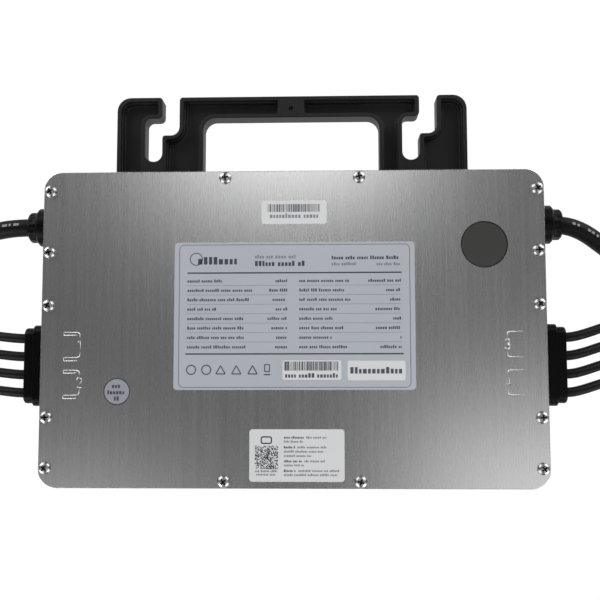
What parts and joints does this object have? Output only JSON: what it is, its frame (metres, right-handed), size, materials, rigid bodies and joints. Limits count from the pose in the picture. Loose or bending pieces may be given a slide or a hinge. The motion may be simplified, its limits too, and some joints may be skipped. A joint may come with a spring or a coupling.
{
  "type": "micro inverter",
  "caption": "Flat rectangular solar micro inverter: brushed metal cover on a black moulded housing, slotted hanging bracket with hand hole, sealed cable leads at both ends.",
  "frame": {"origin": "centre of the housing's flat rear face", "axes": "+X along the long side, +Y towards the mounting bracket, +Z out of the cover plate"},
  "size_m": [0.752, 0.2242, 0.0363],
  "materials": {
    "brushed_metal": "finely brushed across the short side, satin",
    "black_plastic": "matte moulded, glass-filled",
    "connector_plastic": "satin moulded",
    "window_plastic": "fine matte",
    "black_rubber": "satin cable jacket",
    "seal_rubber": "matte",
    "screw_steel": "bright nickel plating",
    "label_film": "silver-grey printed film",
    "board_green": "solder mask",
    "potting_grey": "cured compound",
    "ferrite": "matte",
    "relay_blue": "moulded",
    "capacitor_sleeve": "dark sleeved can"
  },
  "bodies": {
    "root": {"rear_housing": "black_plastic", "mounting_bracket": "black_plastic", "cover_gasket": "seal_rubber", "cover_plate": "brushed_metal", "cover_screw_01": "screw_steel", "cover_screw_02": "screw_steel", "cover_screw_03": "screw_steel", "cover_screw_04": "screw_steel", "cover_screw_05": "screw_steel", "cover_screw_06": "screw_steel", "cover_screw_07": "screw_steel", "cover_screw_08": "screw_steel", "cover_screw_09": "screw_steel", "cover_screw_10": "screw_steel", "cover_screw_11": "screw_steel", "cover_screw_12": "screw_steel", "cover_screw_13": "screw_steel", "cover_screw_14": "screw_steel", "bracket_screw_01": "screw_steel", "bracket_screw_02": "screw_steel", "bracket_screw_03": "screw_steel", "antenna_window": "window_plastic", "ac_gland_left": "black_plastic", "ac_gland_right": "black_plastic", "dc_gland_left": "black_plastic", "dc_gland_right": "black_plastic", "ac_lead_left": "black_rubber", "ac_lead_right": "black_rubber", "ac_lead_coil_left": "black_rubber", "ac_lead_coil_right": "black_rubber", "ac_connector_left": "connector_plastic", "ac_connector_right": "connector_plastic", "dc_lead_left_1": "black_rubber", "dc_lead_left_2": "black_rubber", "dc_lead_left_3": "black_rubber", "dc_lead_left_4": "black_rubber", "dc_lead_right_1": "black_rubber", "dc_lead_right_2": "black_rubber", "dc_lead_right_3": "black_rubber", "dc_lead_right_4": "black_rubber", "dc_connector_left_1": "connector_plastic", "dc_connector_left_2": "connector_plastic", "dc_connector_left_3": "connector_plastic", "dc_connector_left_4": "connector_plastic", "dc_connector_right_1": "connector_plastic", "dc_connector_right_2": "connector_plastic", "dc_connector_right_3": "connector_plastic", "dc_connector_right_4": "connector_plastic", "rating_label": "label_film", "main_circuit_board": "board_green", "radio_board": "board_green", "potting_layer": "potting_grey", "transformer_1": "ferrite", "transformer_2": "ferrite", "transformer_3": "ferrite", "transformer_4": "ferrite", "output_filter_choke": "ferrite", "grid_relay": "relay_blue", "input_capacitor_1": "capacitor_sleeve", "input_capacitor_2": "capacitor_sleeve"}
  },
  "joints": []
}
